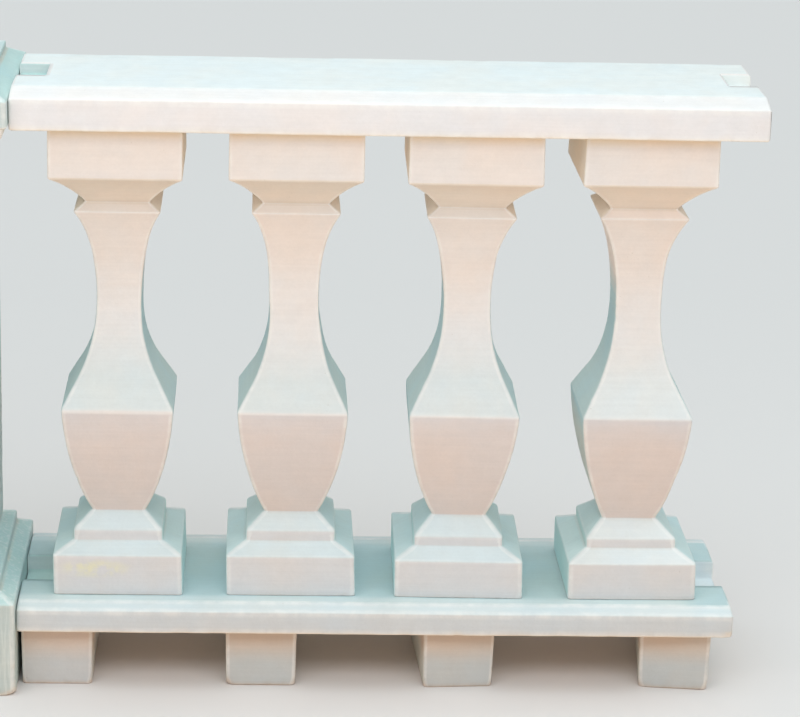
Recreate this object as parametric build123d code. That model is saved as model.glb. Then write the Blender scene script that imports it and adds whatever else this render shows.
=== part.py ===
"""Cast-stone balustrade: a square pier with one bay of rails and square balusters on each side.

Frame: X runs along the balustrade, Y points to its rear and Z up. The origin is on the ground under
the middle of the pier. All sizes are millimetres.
"""

from build123d import *
import os
from math import cos, hypot, radians, sin

# Joints and soft edges
DRY_JOINT = 0.8
CORNER_RADIUS = 4.0

# Foot blocks, laid dry under the base rail and a little askew
FOOT_HEIGHT = 90.0
FOOT_TOP_WIDTH = 100.0
FOOT_DRAFT = 1.5
FOOT_SETBACK = 23.0
FOOT_FROM_PIER_END = 54.0
FOOT_BEFORE_MIDDLE = 160.0
FOOT_BEYOND_MIDDLE = 112.0
FOOT_FROM_FREE_END = 64.0
FOOT_TURNS = (0.0, 0.0, 3.3, -6.0)

# Base rail
RAIL_LENGTH = 1000.0
RAIL_WIDTH = 278.0
RAIL_HEIGHT = 38.0
RAIL_SLOPE_WIDTH = 24.0
RAIL_SLOPE_FALL = 5.0
RAIL_KEY_WIDTH = 88.0
RAIL_KEY_DEPTH = 25.0
RAIL_KEY_STOP = 1.5

# Coping, which runs on past the free end of the base rail
COPING_OVERHANG = 6.0
COPING_WIDTH = 271.0
COPING_HEIGHT = 53.0
COPING_SLOPE_WIDTH = 38.0
COPING_SLOPE_FALL = 12.0
COPING_KEY_WIDTH = 70.0
COPING_KEY_LENGTH = 41.0
COPING_KEY_DEPTH = 15.0

# Balusters: their height, how many stand on a rail, and how far the outer ones stand from its ends
BALUSTER_HEIGHT = 678.0
BALUSTER_COUNT = 4
BALUSTER_END = 138.5

# Baluster section from its base up: full widths, and the rise of each moulding but the neck
BLOCK_WIDTH = 178.0
BLOCK_RISE = 56.0
BLOCK_SLOPE_RISE = 17.0
STEP_WIDTH = 123.0
STEP_RISE = 13.0
STEP_SLOPE_RISE = 21.5
BODY_FOOT_WIDTH = 75.0
BODY_RISE = 157.5
BODY_BULGE = 8.0
BELLY_WIDTH = 153.0
SHOULDER_RISE = 40.0
SHOULDER_WIDTH = 111.0
FLARE_RISE = 107.0
WAIST_WIDTH = 66.0
COLLAR_WIDTH = 120.0
COLLAR_LEAN = 30.0
COLLAR_RISE = 2.0
THROAT_RISE = 9.5
THROAT_WIDTH = 90.0
SPLAY_RISE = 40.5
SPLAY_HOLLOW = 3.0
ABACUS_WIDTH = 180.0
ABACUS_RISE = 75.0

# How far the two hollow curves of the body hold their end directions, as shares of their rise
FLARE_HOLD_LOW = 0.28
FLARE_HOLD_HIGH = 0.37
NECK_HOLD_LOW = 0.39
NECK_HOLD_HIGH = 0.32

# Pier base: a block that stands up past the base rail, a weathered step and a last slope
PIER_BLOCK_WIDTH = 311.0
PIER_BLOCK_LIP = 9.5
PIER_BLOCK_SLOPE_RISE = 11.0
PIER_STEP_WIDTH = 267.0
PIER_STEP_RISE = 13.0
PIER_STEP_SLOPE_RISE = 6.5

# Pier shaft
SHAFT_WIDTH = 231.0

# Pier cap: a fillet, a quarter round, a slab set against the coping, its weathered top and a seat
CAP_SLAB_LIFT = 6.0
CAP_FILLET_WIDTH = 236.0
CAP_FILLET_RISE = 6.0
CAP_ROUND_RADIUS = 31.0
CAP_WIDTH = 307.0
CAP_EDGE_RISE = 37.0
CAP_SLOPE_WIDTH = 26.0
CAP_SLOPE_RISE = 12.5
CAP_SEAT_RISE = 9.5

# Levels that follow from the stack
RAIL_TOP = FOOT_HEIGHT + RAIL_HEIGHT
COPING_BOTTOM = RAIL_TOP + BALUSTER_HEIGHT
PIER_BLOCK_RISE = RAIL_TOP + PIER_BLOCK_LIP
PIER_BASE_HEIGHT = PIER_BLOCK_RISE + PIER_BLOCK_SLOPE_RISE + PIER_STEP_RISE + PIER_STEP_SLOPE_RISE
CAP_BOTTOM = COPING_BOTTOM + CAP_SLAB_LIFT - CAP_ROUND_RADIUS - CAP_FILLET_RISE
SHAFT_RISE = CAP_BOTTOM - PIER_BASE_HEIGHT

# The neck takes the height that the other mouldings of the baluster leave
LOWER_RISE = BLOCK_RISE + BLOCK_SLOPE_RISE + STEP_RISE + STEP_SLOPE_RISE
BODY_TO_WAIST_RISE = BODY_RISE + SHOULDER_RISE + FLARE_RISE
HEAD_RISE = COLLAR_RISE + THROAT_RISE + SPLAY_RISE + ABACUS_RISE
NECK_RISE = BALUSTER_HEIGHT - LOWER_RISE - BODY_TO_WAIST_RISE - HEAD_RISE

# Where each rail starts beside the pier, and lengths that follow along it
RAIL_START = PIER_BLOCK_WIDTH / 2 + DRY_JOINT
COPING_START = CAP_WIDTH / 2 + DRY_JOINT
COPING_LENGTH = RAIL_START + RAIL_LENGTH + COPING_OVERHANG - COPING_START
BALUSTER_SPACING = (RAIL_LENGTH - 2 * BALUSTER_END) / (BALUSTER_COUNT - 1)
RAIL_KEY_LENGTH = BALUSTER_END - BLOCK_WIDTH / 2 - RAIL_KEY_STOP
FOOT_CENTRES = (
    FOOT_FROM_PIER_END,
    RAIL_LENGTH / 2 - FOOT_BEFORE_MIDDLE,
    RAIL_LENGTH / 2 + FOOT_BEYOND_MIDDLE,
    RAIL_LENGTH - FOOT_FROM_FREE_END,
)


def square_solid(edges, height):
    """A solid that is square at every level: one outline sawn through both ways and crossed.

    edges runs from the lower right corner of the outline to the upper right one, on the XZ plane.
    """
    first = edges[0] @ 0
    last = edges[-1] @ 1
    outline = [
        Line((0, 0), (first.X, first.Y)),
        *edges,
        Line((last.X, last.Y), (0, height)),
        Line((0, height), (0, 0)),
    ]
    half = make_face(Wire(outline))
    face = Plane.XZ * (half + mirror(half, about=Plane.YZ))
    reach = max(edge.bounding_box().max.X for edge in edges)
    sawn_one_way = extrude(face, amount=reach, both=True)
    sawn_other_way = Rot(0, 0, 90) * sawn_one_way
    return sawn_one_way & sawn_other_way


def chain(points):
    """Straight edges through a list of points."""
    return [Line(a, b) for a, b in zip(points, points[1:])]


def bulged(start, end, bulge):
    """An arc from start to end that stands out from its chord by bulge, to the right of its way."""
    run = (end[0] - start[0], end[1] - start[1])
    length = hypot(*run)
    middle = (
        (start[0] + end[0]) / 2 + bulge * run[1] / length,
        (start[1] + end[1]) / 2 - bulge * run[0] / length,
    )
    return ThreePointArc(start, middle, end)


def baluster_edges():
    """The right side of the baluster's outline, from its base to the top of its abacus."""
    z = BLOCK_RISE
    lower = [(BLOCK_WIDTH / 2, 0), (BLOCK_WIDTH / 2, z)]
    z += BLOCK_SLOPE_RISE
    lower.append((STEP_WIDTH / 2, z))
    z += STEP_RISE
    lower.append((STEP_WIDTH / 2, z))
    z += STEP_SLOPE_RISE
    body_foot = (BODY_FOOT_WIDTH / 2, z)
    lower.append(body_foot)
    z += BODY_RISE
    belly = (BELLY_WIDTH / 2, z)
    z += SHOULDER_RISE
    shoulder = (SHOULDER_WIDTH / 2, z)
    z += FLARE_RISE
    waist = (WAIST_WIDTH / 2, z)
    z += NECK_RISE
    collar = (COLLAR_WIDTH / 2, z)
    z += COLLAR_RISE
    collar_top = (COLLAR_WIDTH / 2, z)
    z += THROAT_RISE
    throat = (THROAT_WIDTH / 2, z)
    z += SPLAY_RISE
    abacus = (ABACUS_WIDTH / 2, z)
    z += ABACUS_RISE

    # the hollow curves leave the shoulder along its slope and pass the waist upright
    hold = FLARE_HOLD_LOW * FLARE_RISE / SHOULDER_RISE
    flare_low = (
        shoulder[0] + hold * (shoulder[0] - belly[0]),
        shoulder[1] + hold * (shoulder[1] - belly[1]),
    )
    flare_high = (waist[0], waist[1] - FLARE_HOLD_HIGH * FLARE_RISE)
    neck_low = (waist[0], waist[1] + NECK_HOLD_LOW * NECK_RISE)
    reach = NECK_HOLD_HIGH * NECK_RISE
    neck_high = (
        collar[0] - reach * sin(radians(COLLAR_LEAN)),
        collar[1] - reach * cos(radians(COLLAR_LEAN)),
    )
    return [
        *chain(lower),
        bulged(body_foot, belly, BODY_BULGE),
        Line(belly, shoulder),
        Bezier(shoulder, flare_low, flare_high, waist),
        Bezier(waist, neck_low, neck_high, collar),
        Line(collar, collar_top),
        Line(collar_top, throat),
        bulged(throat, abacus, -SPLAY_HOLLOW),
        Line(abacus, (ABACUS_WIDTH / 2, z)),
    ]


def weathered_rail(length, width, height, slope_width, slope_fall, key):
    """A rail along X from the origin: flat top, sloped edges, and a key pocket at each end."""
    half = width / 2
    section = Polyline(
        (-half, 0),
        (half, 0),
        (half, height - slope_fall),
        (half - slope_width, height),
        (slope_width - half, height),
        (-half, height - slope_fall),
        close=True,
    )
    rail = extrude(Plane.YZ * make_face(section), amount=length)
    corners = [edge for edge in rail.edges().filter_by(Axis.Z) if abs(edge.center().Y) > half - slope_width]
    rail = fillet(corners, CORNER_RADIUS)
    key_length, key_width, key_depth = key
    pocket = Box(2 * key_length, key_width, 2 * key_depth)
    for end in (0, length):
        rail -= Pos(end, 0, height) * pocket
    return rail


def foot_block():
    """A foot that narrows a little downward, with its top at Z = FOOT_HEIGHT."""
    depth = RAIL_WIDTH - 2 * FOOT_SETBACK
    top = Pos(0, 0, FOOT_HEIGHT) * Rectangle(FOOT_TOP_WIDTH, depth)
    bottom = Rectangle(FOOT_TOP_WIDTH - 2 * FOOT_DRAFT, depth - 2 * FOOT_DRAFT)
    return loft([bottom.face(), top.face()])


def pier_base():
    half = PIER_BLOCK_WIDTH / 2
    step = PIER_STEP_WIDTH / 2
    block_top = PIER_BLOCK_RISE
    step_foot = block_top + PIER_BLOCK_SLOPE_RISE
    step_top = step_foot + PIER_STEP_RISE
    points = [
        (half, 0),
        (half, block_top),
        (step, step_foot),
        (step, step_top),
        (SHAFT_WIDTH / 2, PIER_BASE_HEIGHT),
    ]
    return square_solid(chain(points), PIER_BASE_HEIGHT)


def pier_cap():
    fillet_half = CAP_FILLET_WIDTH / 2
    half = CAP_WIDTH / 2
    slab_bottom = CAP_FILLET_RISE + CAP_ROUND_RADIUS
    slab_top = slab_bottom + CAP_EDGE_RISE
    slope_top = slab_top + CAP_SLOPE_RISE
    seat_top = slope_top + CAP_SEAT_RISE
    seat_half = half - CAP_SLOPE_WIDTH
    round_end = fillet_half + CAP_ROUND_RADIUS
    edges = [
        Line((fillet_half, 0), (fillet_half, CAP_FILLET_RISE)),
        RadiusArc((fillet_half, CAP_FILLET_RISE), (round_end, slab_bottom), -CAP_ROUND_RADIUS),
        *chain(
            [
                (round_end, slab_bottom),
                (half, slab_bottom),
                (half, slab_top),
                (seat_half, slope_top),
                (seat_half, seat_top),
            ]
        ),
    ]
    return square_solid(edges, seat_top)


def build_pier():
    shaft = Pos(0, 0, PIER_BASE_HEIGHT + SHAFT_RISE / 2) * Box(SHAFT_WIDTH, SHAFT_WIDTH, SHAFT_RISE)
    return {
        "pier_base": pier_base(),
        "pier_shaft": shaft,
        "pier_cap": Pos(0, 0, CAP_BOTTOM) * pier_cap(),
    }


def build_bay(name, side):
    """One bay. side is 1 for the bay that runs towards +X and -1 for its mirror image."""
    rail_key = (RAIL_KEY_LENGTH, RAIL_KEY_WIDTH, RAIL_KEY_DEPTH)
    rail = weathered_rail(
        RAIL_LENGTH, RAIL_WIDTH, RAIL_HEIGHT, RAIL_SLOPE_WIDTH, RAIL_SLOPE_FALL, rail_key
    )
    coping_key = (COPING_KEY_LENGTH, COPING_KEY_WIDTH, COPING_KEY_DEPTH)
    coping = weathered_rail(
        COPING_LENGTH, COPING_WIDTH, COPING_HEIGHT, COPING_SLOPE_WIDTH, COPING_SLOPE_FALL, coping_key
    )
    rail_x = RAIL_START if side > 0 else -RAIL_START - RAIL_LENGTH
    coping_x = COPING_START if side > 0 else -COPING_START - COPING_LENGTH
    pieces = {
        f"{name}_base_rail": Pos(rail_x, 0, FOOT_HEIGHT) * rail,
        f"{name}_coping": Pos(coping_x, 0, COPING_BOTTOM) * coping,
    }
    foot = foot_block()
    for number, (centre, turn) in enumerate(zip(FOOT_CENTRES, FOOT_TURNS), 1):
        place = Pos(side * (RAIL_START + centre), 0, 0) * Rot(0, 0, side * turn)
        pieces[f"{name}_foot_{number}"] = place * foot
    baluster = square_solid(baluster_edges(), BALUSTER_HEIGHT)
    for number in range(BALUSTER_COUNT):
        offset = BALUSTER_END + number * BALUSTER_SPACING
        place = Pos(side * (RAIL_START + offset), 0, RAIL_TOP)
        pieces[f"{name}_baluster_{number + 1}"] = place * baluster
    return pieces


def main():
    os.makedirs("parts", exist_ok=True)
    pieces = {**build_pier(), **build_bay("right", 1), **build_bay("left", -1)}
    for name, shape in pieces.items():
        export_step(shape, f"parts/{name}.step")
        print(name, round(shape.volume), shape.bounding_box().size)


main()
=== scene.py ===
from math import cos, pi, radians, sin
from types import SimpleNamespace

import bmesh
import bpy
import numpy as np
from mathutils import Matrix, Vector


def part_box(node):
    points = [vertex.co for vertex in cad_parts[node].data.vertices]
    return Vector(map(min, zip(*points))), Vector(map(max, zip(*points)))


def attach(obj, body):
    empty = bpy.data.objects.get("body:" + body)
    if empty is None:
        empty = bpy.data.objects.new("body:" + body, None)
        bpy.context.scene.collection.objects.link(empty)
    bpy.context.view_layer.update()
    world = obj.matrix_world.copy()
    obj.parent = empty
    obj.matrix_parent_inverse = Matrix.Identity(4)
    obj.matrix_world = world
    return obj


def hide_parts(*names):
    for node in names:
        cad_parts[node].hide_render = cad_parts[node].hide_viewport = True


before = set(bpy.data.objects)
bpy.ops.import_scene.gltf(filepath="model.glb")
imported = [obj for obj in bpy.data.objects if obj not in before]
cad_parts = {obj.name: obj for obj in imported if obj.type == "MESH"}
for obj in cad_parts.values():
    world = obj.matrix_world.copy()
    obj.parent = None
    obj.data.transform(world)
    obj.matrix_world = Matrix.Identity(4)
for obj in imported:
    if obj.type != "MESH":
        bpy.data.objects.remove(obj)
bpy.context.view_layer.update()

# Every size is in metres
MM = 0.001
WELD = 0.01 * MM
SAME_PLACE = 10 * WELD
SHORTEST_NORMAL = 1e-12

# Hand finishing: how far arrises, hollows and corners are rubbed round (on a baluster by height, on a foot
# by a share drawn for each corner), and how uneven the faces are
ARRIS_REACH = 2.4 * MM
HOLLOW_REACH = 2.0 * MM
CORNER_REACH = 5.0 * MM
BALUSTER_CORNERS = [
    (0.128, 5.0 * MM),
    (0.184, 5.0 * MM),
    (0.194, 6.0 * MM),
    (0.236, 6.0 * MM),
    (0.250, 3.8 * MM),
    (0.450, 3.8 * MM),
    (0.560, 3.4 * MM),
    (0.700, 2.8 * MM),
]
FOOT_CORNER = 3.8 * MM
FOOT_RUB = (0.6, 1.2)
FOOT_WEAR_HEIGHT = 12 * MM
END_REACH = 4.0 * MM
BEVEL_EASE = 2.5 * MM
POCKET_WALL = 0.9 * MM
SHARPEST_FLAT_TURN = radians(9)
WAVE_LENGTH = 130 * MM
WAVE_DEPTH = 0.32 * MM
RIPPLE_LENGTH = 36 * MM
RIPPLE_DEPTH = 0.12 * MM

# The most that a rounded turn takes of the stretches beside it, and that a rounded corner takes of its ring
TURN_SHARE = 0.42
CORNER_SHARE = 0.3

# Wear: arrises are rubbed back in patches, with a few small chips that keep to larger patches of their own
# The edge marks also set the paint: chalky arrises with a painted highlight, and tan hollows with painted
# shade
EDGE_GLOW = 3.2 * MM
LEVEL_ARRIS = 0.45
POCKET_LIP = 0.5
RUB_LENGTH = 24 * MM
RUB_DEPTH = 0.4 * MM
RUB_GAIN = 1.4
CHIP_LENGTH = 8 * MM
CHIP_DEPTH = 1.4 * MM
CHIP_START = 0.58
CHIPPED_LENGTH = 6 * CHIP_LENGTH
CHIPPED_GAIN = 2.0

# Seeds of the noises that shape a piece: a step from piece to piece, and a number for each noise
SHAPE_SEED_STEP = 11
RIPPLE_SEED = 5
WEAR_SEED_STEP = 7
RUB_SEED = 3
CHIP_SEED = 4
CHIPPED_SEED = 5

# The whole-number hash behind the noise
HASH_STRIDES = (374761393, 668265263, 1274126177)
HASH_SEED_STRIDE = 974634777
HASH_MIX = 1274126177
HASH_SHIFTS = (13, 16)
WORD = 2 ** 32

# How fine the meshes are. A stretch may be longer than its steps by the slack's share of a step
SKIN_STEP = 4.5 * MM
TOP_STEP = 2 * SKIN_STEP
RAIL_STEP = 5 * MM
ACROSS_STEP = 8 * MM
SECTION_STEP = 1.5 * ACROSS_STEP
HIDDEN_STEP = 40 * MM
BEND_STEPS = 4
SIDE_PARTS = 18
CORNER_PARTS = 4
PARTS_SLACK = 0.01

# A flat end is closed by a face this share as wide, and a foot's ring keeps at least this share of its width
TIP_SHARE = 0.125
LEAST_SHARE = 0.02

# Across a pocket's wall and beside it on a rail
WALL_STEPS = np.linspace(-1, 1, 5) * POCKET_WALL
ACROSS_ROOM = 2.5 * POCKET_WALL
STATION_ROOM = 2 * POCKET_WALL
STATION_GAP = 0.1 * MM

# Which points of a rail's section lie on its floor and on its flat top
ON_FLOOR = 1
ON_TOP = 2

# How each baluster of the photographed bay was cast and set, in millimetres at each of these heights: how far
# it sits too low, how far it is shifted along X and towards the front, and how much wider it is on each side
CAST_LEVELS = (
    128.0, 184.0, 201.0, 214.0, 235.5, 300.0, 393.0, 433.0,
    490.0, 560.0, 620.0, 681.0, 690.5, 731.0, 806.0,
)
CAST = {
    1: {
        "lower": (0.0, -3.3, 2.1, -0.7, 0.4, -1.6, -3.7, -3.0, -1.9, 0.0, 2.2, 5.1, 5.0, 2.2, 0.0),
        "along": (0.4, -0.9, -1.0, -1.0, -1.3, -0.9, -1.4, -1.8, -1.9, -0.7, -0.8, -2.3, -2.5, -3.4, -3.5),
        "forward": (6.0, 6.0, 6.0, 6.0, 5.8, 5.1, 4.2, 3.8, 3.2, 2.5, 1.9, 1.3, 1.2, 0.8, 0.0),
        "wider": (1.3, 0.8, 1.2, 0.8, 0.5, 0.6, 0.9, 0.1, -1.8, -2.0, -1.0, -1.5, -1.2, 0.3, 0.3),
    },
    2: {
        "lower": (0.0, -3.1, 1.7, -0.9, 1.0, -1.4, -1.8, -1.7, -2.0, 0.0, 1.6, 3.3, 3.2, 0.4, 0.0),
        "along": (1.4, -0.2, -0.3, 0.0, 0.4, 0.6, -0.1, 0.7, 1.3, -1.1, -0.2, 0.2, 0.0, -0.7, -0.6),
        "forward": (3.0, 3.0, 3.0, 3.0, 2.9, 2.6, 2.1, 1.9, 1.6, 1.3, 0.9, 0.6, 0.6, 0.4, 0.0),
        "wider": (1.7, 1.1, 1.2, 1.3, 1.0, 0.6, 0.2, -0.4, 0.8, 1.3, 0.6, 0.4, 0.6, 1.2, 0.9),
    },
    3: {
        "lower": (0.0, 0.9, 6.2, 4.9, 2.6, 0.5, -0.4, -0.5, 0.6, 2.0, 3.7, 5.5, 5.2, 2.0, 0.0),
        "along": (-2.6, -3.5, -3.2, -3.2, -2.8, -3.3, -1.7, -1.3, -0.7, -1.3, -2.0, 0.1, 0.4, 2.0, 1.7),
        "forward": (5.0, 5.0, 5.0, 5.0, 4.8, 4.2, 3.4, 3.1, 2.6, 2.0, 1.5, 1.0, 1.0, 0.6, 0.0),
        "wider": (1.7, 1.1, 1.5, 1.4, 1.2, 0.6, 0.5, 1.2, 0.1, -0.2, 0.9, 1.0, 1.1, 1.6, 0.8),
    },
    4: {
        "lower": (0.0, 1.8, 5.7, 4.9, 4.7, 2.5, 0.3, -0.4, 0.5, 1.5, 2.5, 3.5, 3.4, 0.8, 0.0),
        "along": (-1.0, -2.0, -1.3, -1.8, -2.6, -4.0, -3.4, -3.5, -4.0, -4.2, -5.8, -5.8, -5.6, -4.9, -4.4),
        "forward": (6.0, 6.0, 6.0, 6.0, 5.8, 5.1, 4.2, 3.8, 3.2, 2.5, 1.9, 1.2, 1.2, 0.8, 0.0),
        "wider": (1.6, 1.4, 2.2, 2.2, 0.8, -0.7, 0.1, -0.6, -0.9, -0.9, -1.2, 0.8, 1.0, 2.0, 0.6),
    },
}
TURNS = {3: radians(-1.0), 4: radians(0.6)}

# Corners that are knocked round: node, signs of the corner's side in X, Y and Z, and radius
KNOCKED = [
    ("right_base_rail", (1, -1, -1), 5 * MM),
    ("right_base_rail", (1, 1, 1), 6 * MM),
    ("left_base_rail", (-1, -1, 1), 8 * MM),
    ("left_coping", (-1, 1, -1), 7 * MM),
    ("pier_base", (1, -1, -1), 9 * MM),
    ("pier_base", (-1, 1, -1), 12 * MM),
    ("right_foot_2", (-1, -1, -1), 8 * MM),
    ("right_foot_2", (1, -1, -1), 6 * MM),
    ("left_foot_2", (1, -1, -1), 9 * MM),
]


# Noise

def smooth_rise(share):
    """A rise from 0 to 1 that starts and ends level."""
    return share * share * (3 - 2 * share)


def lattice(cells, seed):
    """A value from -1 to 1 for each whole-number cell, the same on every run."""
    bits = np.uint32(seed * HASH_SEED_STRIDE % WORD)
    for axis, stride in enumerate(HASH_STRIDES):
        bits = bits + cells[..., axis].astype(np.uint32) * np.uint32(stride)
    first, second = (np.uint32(shift) for shift in HASH_SHIFTS)
    bits = (bits ^ (bits >> first)) * np.uint32(HASH_MIX)
    bits = bits ^ (bits >> second)
    return bits.astype(np.float64) / (WORD / 2) - 1.0


def smooth_noise(points, length, seed):
    """Smooth noise from -1 to 1 at each point, with waves about as long as length."""
    scaled = points / length
    cell = np.floor(scaled)
    weight = smooth_rise(scaled - cell)
    cell = cell.astype(np.int64)
    value = np.zeros(len(points))
    for corner in np.ndindex(2, 2, 2):
        share = np.prod([weight[:, a] if corner[a] else 1 - weight[:, a] for a in range(3)], axis=0)
        value += share * lattice(cell + np.array(corner), seed)
    return value


def uneven(points, seed):
    """Moves points a little, as hand-finished casting does, with long waves and short ripples."""
    moved = points.copy()
    for axis in range(3):
        wave_seed = SHAPE_SEED_STEP * seed + axis
        moved[:, axis] += WAVE_DEPTH * smooth_noise(points, WAVE_LENGTH, wave_seed)
        moved[:, axis] += RIPPLE_DEPTH * smooth_noise(points, RIPPLE_LENGTH, wave_seed + RIPPLE_SEED)
    return moved


def vertex_normals(points, faces):
    """The outward direction at each point, from the four-sided faces round it."""
    quads = np.array([face for face in faces if len(face) == 4])
    a, b, c, d = (points[quads[:, k]] for k in range(4))
    across = np.cross(c - a, d - b)
    normals = np.zeros_like(points)
    for k in range(4):
        np.add.at(normals, quads[:, k], across)
    return normals / np.maximum(np.linalg.norm(normals, axis=1), SHORTEST_NORMAL)[:, None]


def worn(points, faces, marks, seed):
    """Takes a little off the arrises, in rubbed patches and small chips."""
    exposed = np.clip(marks, 0, 1)[:, None]
    inward = -vertex_normals(points, faces)
    wear_seed = WEAR_SEED_STEP * seed
    rub = np.clip(smooth_noise(points, RUB_LENGTH, wear_seed + RUB_SEED) * RUB_GAIN, 0, 1)
    chips = smooth_noise(points, CHIP_LENGTH, wear_seed + CHIP_SEED)
    chip = np.clip((chips - CHIP_START) / (1 - CHIP_START), 0, 1)
    chipped = np.clip(smooth_noise(points, CHIPPED_LENGTH, wear_seed + CHIPPED_SEED) * CHIPPED_GAIN, 0, 1)
    depth = RUB_DEPTH * rub + CHIP_DEPTH * chip * chipped
    return points + inward * depth[:, None] * exposed


def knocked(points, node, low, high):
    """Rounds the corners of a piece that have been knocked off."""
    moved = points.copy()
    for name, signs, radius in KNOCKED:
        if name != node:
            continue
        signs = np.array(signs, float)
        corner = np.where(signs > 0, high, low)
        middle = corner - signs * radius
        out = (moved - middle) * signs
        reach = np.linalg.norm(np.clip(out, 0, None), axis=1)
        outside = (out > 0).all(axis=1) & (reach > radius)
        share = np.where(outside, radius / np.maximum(reach, WELD), 1.0)
        moved = np.where(outside[:, None], middle + (moved - middle) * share[:, None], moved)
    return moved


# Outlines

def bend(before, corner, after, steps=BEND_STEPS):
    """Points of the curve that leaves before, turns at corner and reaches after."""
    share = np.linspace(0, 1, steps + 1)[:, None]
    return (1 - share) ** 2 * before + 2 * share * (1 - share) * corner + share ** 2 * after


def soften(points, convex_reach, hollow_reach, closed=False):
    """Rounds the sharp turns of an outline that runs anticlockwise. Returns points and their edge marks.

    A mark is 1 on a rounded arris, -1 in a rounded hollow and 0 elsewhere.
    """
    points = np.array(points, float)
    count = len(points)
    out, marks = [], []
    for i, here in enumerate(points):
        if not closed and i in (0, count - 1):
            out.append(here)
            marks.append(0)
            continue
        back = points[i - 1] - here
        ahead = points[(i + 1) % count] - here
        back_length, ahead_length = np.hypot(*back), np.hypot(*ahead)
        back, ahead = back / back_length, ahead / ahead_length
        turn = np.arctan2(ahead[1] * back[0] - ahead[0] * back[1], -(ahead @ back))
        if abs(turn) < SHARPEST_FLAT_TURN:
            out.append(here)
            marks.append(0)
            continue
        convex = turn < 0
        reach = convex_reach if convex else hollow_reach
        reach = min(reach, TURN_SHARE * back_length, TURN_SHARE * ahead_length)
        curve = bend(here + reach * back, here, here + reach * ahead)
        out.extend(curve)
        marks.extend([1 if convex else -1] * len(curve))
    return np.array(out), np.array(marks, float)


def fill(points, marks, steps, closed=False):
    """Adds points on long stretches, so that stretch i has none longer than steps[i]."""
    out, out_marks = [], []
    count = len(points)
    for i in range(count if closed else count - 1):
        after = (i + 1) % count
        way = points[after] - points[i]
        length = np.hypot(*way)
        parts = max(1, int(np.ceil(length / steps[i] - PARTS_SLACK)))
        for k in range(parts):
            share = k / parts
            out.append(points[i] + way * share)
            mark_behind = marks[i] * max(0.0, 1 - share * length / EDGE_GLOW)
            mark_ahead = marks[after] * max(0.0, 1 - (1 - share) * length / EDGE_GLOW)
            out_marks.append(mark_behind if abs(mark_behind) >= abs(mark_ahead) else mark_ahead)
    if not closed:
        out.append(points[-1])
        out_marks.append(marks[-1])
    return np.array(out), np.array(out_marks)


# What the frame says about a piece

def welded_points(node):
    """The places of a CAD piece's corners, and the pairs of them that an edge joins."""
    shell = bmesh.new()
    shell.from_mesh(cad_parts[node].data)
    bmesh.ops.remove_doubles(shell, verts=shell.verts, dist=WELD)
    shell.verts.index_update()
    places = np.array([vert.co[:] for vert in shell.verts])
    joined = [(edge.verts[0].index, edge.verts[1].index) for edge in shell.edges]
    shell.free()
    return places, joined


def arris_outline(node):
    """The outline of a square piece as (half width, height) points from the floor up, along one arris."""
    low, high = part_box(node)
    centre = (low + high) / 2
    places, joined = welded_points(node)
    out_x, out_y = places[:, 0] - centre.x, places[:, 1] - centre.y
    on_arris = (np.abs(out_x - out_y) < SAME_PLACE) & (out_x > WELD)
    neighbours = {}
    for a, b in joined:
        if on_arris[a] and on_arris[b]:
            neighbours.setdefault(a, []).append(b)
            neighbours.setdefault(b, []).append(a)
    ends = [v for v, others in neighbours.items() if len(others) == 1]
    here = min(ends, key=lambda v: places[v][2])
    chain, seen = [], set()
    while here is not None:
        seen.add(here)
        chain.append((out_x[here], places[here][2]))
        here = next((v for v in neighbours[here] if v not in seen), None)
    return chain


def rail_shape(node):
    """What the frame says about a rail: its length, flat top, slope and pockets."""
    low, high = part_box(node)
    places, _ = welded_points(node)
    across = np.abs(places[:, 1])
    at_top = np.abs(places[:, 2] - high.z) < SAME_PLACE
    at_side = np.abs(across - high.y) < SAME_PLACE
    flat = across[at_top].max()
    in_pocket = (across < flat - MM) & (places[:, 2] < high.z - MM) & (places[:, 2] > low.z + MM)
    left_half = places[:, 0] < (low.x + high.x) / 2
    return SimpleNamespace(
        low=low,
        high=high,
        length=high.x - low.x,
        flat=flat,
        slope_foot=places[at_side][:, 2].max() + (BEVEL_EASE if "coping" in node else 0.0),
        pocket_depth=high.z - places[in_pocket][:, 2].min(),
        pocket_half=across[in_pocket].max(),
        pocket_length=places[in_pocket & left_half][:, 0].max() - low.x,
    )


# Meshes

def as_cast(points, low, high, cast, turn):
    """Turns a piece about its upright axis, and moves each of its levels as the real piece has them."""
    middle = (low + high) / 2
    levels = np.array(CAST_LEVELS) * MM
    lower, along, forward, wider = (
        np.interp(points[:, 2], levels, np.array(cast[name]) * MM)
        for name in ("lower", "along", "forward", "wider")
    )
    out_x, out_y = points[:, 0] - middle[0], points[:, 1] - middle[1]
    half = np.maximum(np.maximum(np.abs(out_x), np.abs(out_y)), MM)
    swell = 1 + wider / half
    out_x, out_y = out_x * swell, out_y * swell
    moved = points.copy()
    moved[:, 0] = middle[0] + cos(turn) * out_x - sin(turn) * out_y + along
    moved[:, 1] = middle[1] + sin(turn) * out_x + cos(turn) * out_y - forward
    moved[:, 2] = points[:, 2] - lower
    return moved


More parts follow.
